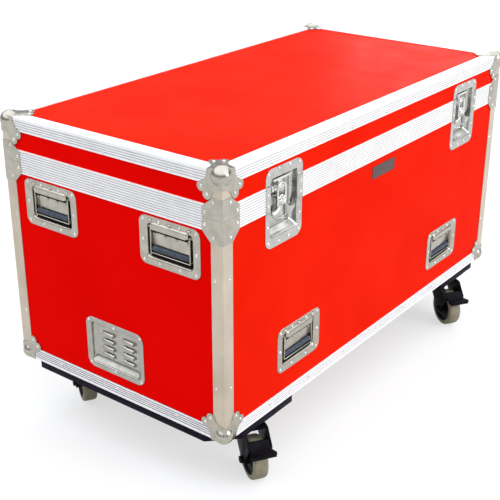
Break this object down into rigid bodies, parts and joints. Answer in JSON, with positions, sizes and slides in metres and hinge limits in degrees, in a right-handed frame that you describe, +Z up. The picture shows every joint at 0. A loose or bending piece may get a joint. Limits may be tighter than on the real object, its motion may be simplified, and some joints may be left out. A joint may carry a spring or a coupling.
{
  "type": "tack trunk",
  "caption": "Red flight-case style tack trunk with ribbed aluminium trim, hinged lid, recessed butterfly latches, sprung bail handles, louvred vents and swivel castors.",
  "frame": {"origin": "centre of the bounding box at the floor", "axes": "+X along the trunk to the right as seen from the front, +Y to the back where the hinges are, +Z up"},
  "size_m": [1.2168, 0.6856, 0.7655],
  "materials": {
    "red_ply": "red laminate on plywood, semi gloss",
    "aluminium_trim": "satin extruded",
    "zinc_steel": "bright zinc plate",
    "bail_steel": "zinc plated bail with a black rubber grip",
    "black_ply": "black painted plywood",
    "black_steel": "black",
    "wheel_rubber": "matt",
    "dark_plate": "black face with a bright rim"
  },
  "bodies": {
    "base": {"base_front_panel": "red_ply", "base_back_panel": "red_ply", "base_end_panels": "red_ply", "base_floor_panel": "red_ply", "bottom_edge_trim": "aluminium_trim", "base_corner_trim": "aluminium_trim", "base_seam_trim": "aluminium_trim", "base_ball_corners": "zinc_steel", "base_corner_braces": "zinc_steel", "base_rivets": "zinc_steel", "latch_dishes_lower": "zinc_steel", "latch_backing_plates": "zinc_steel", "side_handle_dishes": "zinc_steel", "end_handle_dishes": "zinc_steel", "handle_pins": "zinc_steel", "vent_dishes": "zinc_steel", "label_plate": "dark_plate", "castor_boards": "black_ply", "castor_plates": "black_steel", "hinge_leaves_base": "zinc_steel", "hinge_pins": "zinc_steel"},
    "lid": {"lid_top_panel": "red_ply", "lid_side_panels": "red_ply", "lid_edge_trim": "aluminium_trim", "lid_corner_trim": "aluminium_trim", "lid_seam_trim": "aluminium_trim", "lid_ball_corners": "zinc_steel", "lid_corner_braces": "zinc_steel", "lid_rivets": "zinc_steel", "latch_dishes_upper": "zinc_steel", "latch_keepers": "zinc_steel", "hinge_leaves_lid": "zinc_steel"},
    "latch_rotor_left": {"latch_rotor_left": "zinc_steel"},
    "latch_hook_left": {"latch_hook_left": "zinc_steel"},
    "wing_left_a": {"wing_left_a": "zinc_steel"},
    "wing_left_b": {"wing_left_b": "zinc_steel"},
    "latch_rotor_right": {"latch_rotor_right": "zinc_steel"},
    "latch_hook_right": {"latch_hook_right": "zinc_steel"},
    "wing_right_a": {"wing_right_a": "zinc_steel"},
    "wing_right_b": {"wing_right_b": "zinc_steel"},
    "bail_front_left": {"bail_front_left": "bail_steel"},
    "bail_front_right": {"bail_front_right": "bail_steel"},
    "bail_right_front": {"bail_right_front": "bail_steel"},
    "bail_right_back": {"bail_right_back": "bail_steel"},
    "bail_back_right": {"bail_back_right": "bail_steel"},
    "bail_back_left": {"bail_back_left": "bail_steel"},
    "bail_left_back": {"bail_left_back": "bail_steel"},
    "bail_left_front": {"bail_left_front": "bail_steel"},
    "fork_front_left": {"fork_front_left": "black_steel"},
    "wheel_front_left": {"wheel_front_left": "wheel_rubber"},
    "pedal_left": {"pedal_left": "black_steel"},
    "fork_front_right": {"fork_front_right": "black_steel"},
    "wheel_front_right": {"wheel_front_right": "wheel_rubber"},
    "pedal_right": {"pedal_right": "black_steel"},
    "fork_back_right": {"fork_back_right": "black_steel"},
    "wheel_back_right": {"wheel_back_right": "wheel_rubber"},
    "fork_back_left": {"fork_back_left": "black_steel"},
    "wheel_back_left": {"wheel_back_left": "wheel_rubber"}
  },
  "joints": [
    {"name": "lid_hinge", "type": "hinge", "parent": "base", "child": "lid", "pos_m": [0, 0.33734, 0.657], "axis": [-1, 0, 0], "range_deg": [0, 95]},
    {"name": "latch_turn_left", "type": "hinge", "parent": "base", "child": "latch_rotor_left", "pos_m": [-0.4, -0.28366, 0.641], "axis": [0, -1, 0], "range_deg": [0, 180]},
    {"name": "latch_hook_slide_left", "type": "slide", "parent": "base", "child": "latch_hook_left", "axis": [0, 0.4229, -0.9062], "range_m": [0, 0.00993]},
    {"name": "wing_left_a_fold", "type": "hinge", "parent": "latch_rotor_left", "child": "wing_left_a", "pos_m": [-0.411, -0.28356, 0.619], "axis": [0, 0, 1], "range_deg": [0, 90]},
    {"name": "wing_left_b_fold", "type": "hinge", "parent": "latch_rotor_left", "child": "wing_left_b", "pos_m": [-0.389, -0.28356, 0.619], "axis": [0, 0, -1], "range_deg": [0, 90]},
    {"name": "latch_turn_right", "type": "hinge", "parent": "base", "child": "latch_rotor_right", "pos_m": [0.4, -0.28366, 0.641], "axis": [0, -1, 0], "range_deg": [0, 180]},
    {"name": "latch_hook_slide_right", "type": "slide", "parent": "base", "child": "latch_hook_right", "axis": [0, 0.4229, -0.9062], "range_m": [0, 0.00993]},
    {"name": "wing_right_a_fold", "type": "hinge", "parent": "latch_rotor_right", "child": "wing_right_a", "pos_m": [0.389, -0.28356, 0.619], "axis": [0, 0, 1], "range_deg": [0, 90]},
    {"name": "wing_right_b_fold", "type": "hinge", "parent": "latch_rotor_right", "child": "wing_right_b", "pos_m": [0.411, -0.28356, 0.619], "axis": [0, 0, -1], "range_deg": [0, 90]},
    {"name": "bail_front_left_swing", "type": "hinge", "parent": "base", "child": "bail_front_left", "pos_m": [-0.335, -0.28166, 0.317], "axis": [-1, 0, 0], "range_deg": [0, 90], "stiffness_Nm_per_rad": 0.1, "springref_deg": -34.38},
    {"name": "bail_front_right_swing", "type": "hinge", "parent": "base", "child": "bail_front_right", "pos_m": [0.335, -0.28166, 0.317], "axis": [-1, 0, 0], "range_deg": [0, 90], "stiffness_Nm_per_rad": 0.1, "springref_deg": -34.38},
    {"name": "bail_right_front_swing", "type": "hinge", "parent": "base", "child": "bail_right_front", "pos_m": [0.593, -0.15066, 0.599], "axis": [0, -1, 0], "range_deg": [0, 90], "stiffness_Nm_per_rad": 0.1, "springref_deg": -34.38},
    {"name": "bail_right_back_swing", "type": "hinge", "parent": "base", "child": "bail_right_back", "pos_m": [0.593, 0.19334, 0.599], "axis": [0, -1, 0], "range_deg": [0, 90], "stiffness_Nm_per_rad": 0.1, "springref_deg": -34.38},
    {"name": "bail_back_right_swing", "type": "hinge", "parent": "base", "child": "bail_back_right", "pos_m": [0.335, 0.32434, 0.317], "axis": [1, 0, 0], "range_deg": [0, 90], "stiffness_Nm_per_rad": 0.1, "springref_deg": -34.38},
    {"name": "bail_back_left_swing", "type": "hinge", "parent": "base", "child": "bail_back_left", "pos_m": [-0.335, 0.32434, 0.317], "axis": [1, 0, 0], "range_deg": [0, 90], "stiffness_Nm_per_rad": 0.1, "springref_deg": -34.38},
    {"name": "bail_left_back_swing", "type": "hinge", "parent": "base", "child": "bail_left_back", "pos_m": [-0.593, 0.19334, 0.599], "axis": [0, 1, 0], "range_deg": [0, 90], "stiffness_Nm_per_rad": 0.1, "springref_deg": -34.38},
    {"name": "bail_left_front_swing", "type": "hinge", "parent": "base", "child": "bail_left_front", "pos_m": [-0.593, -0.15066, 0.599], "axis": [0, 1, 0], "range_deg": [0, 90], "stiffness_Nm_per_rad": 0.1, "springref_deg": -34.38},
    {"name": "swivel_front_left", "type": "hinge", "parent": "base", "child": "fork_front_left", "pos_m": [-0.459, -0.24266, 0.128], "axis": [0, 0, 1], "continuous": true},
    {"name": "roll_front_left", "type": "hinge", "parent": "fork_front_left", "child": "wheel_front_left", "pos_m": [-0.47755, -0.27235, 0.05], "axis": [0.848, -0.5299, 0], "continuous": true},
    {"name": "brake_left", "type": "hinge", "parent": "fork_front_left", "child": "pedal_left", "pos_m": [-0.49079, -0.29355, 0.1027], "axis": [0.848, -0.5299, 0], "range_deg": [0, 15]},
    {"name": "swivel_front_right", "type": "hinge", "parent": "base", "child": "fork_front_right", "pos_m": [0.459, -0.24266, 0.128], "axis": [0, 0, 1], "continuous": true},
    {"name": "roll_front_right", "type": "hinge", "parent": "fork_front_right", "child": "wheel_front_right", "pos_m": [0.44045, -0.27235, 0.05], "axis": [0.848, -0.5299, 0], "continuous": true},
    {"name": "brake_right", "type": "hinge", "parent": "fork_front_right", "child": "pedal_right", "pos_m": [0.42721, -0.29355, 0.1027], "axis": [0.848, -0.5299, 0], "range_deg": [0, 15]},
    {"name": "swivel_back_right", "type": "hinge", "parent": "base", "child": "fork_back_right", "pos_m": [0.459, 0.28534, 0.128], "axis": [0, 0, 1], "continuous": true},
    {"name": "roll_back_right", "type": "hinge", "parent": "fork_back_right", "child": "wheel_back_right", "pos_m": [0.44045, 0.25566, 0.05], "axis": [0.848, -0.5299, 0], "continuous": true},
    {"name": "swivel_back_left", "type": "hinge", "parent": "base", "child": "fork_back_left", "pos_m": [-0.459, 0.28534, 0.128], "axis": [0, 0, 1], "continuous": true},
    {"name": "roll_back_left", "type": "hinge", "parent": "fork_back_left", "child": "wheel_back_left", "pos_m": [-0.47755, 0.25566, 0.05], "axis": [0.848, -0.5299, 0], "continuous": true}
  ],
  "couplings": [
    {"joint": "latch_hook_slide_left", "follows": "latch_turn_left", "m_per_rad": 0.00316},
    {"joint": "latch_hook_slide_right", "follows": "latch_turn_right", "m_per_rad": 0.00316}
  ]
}
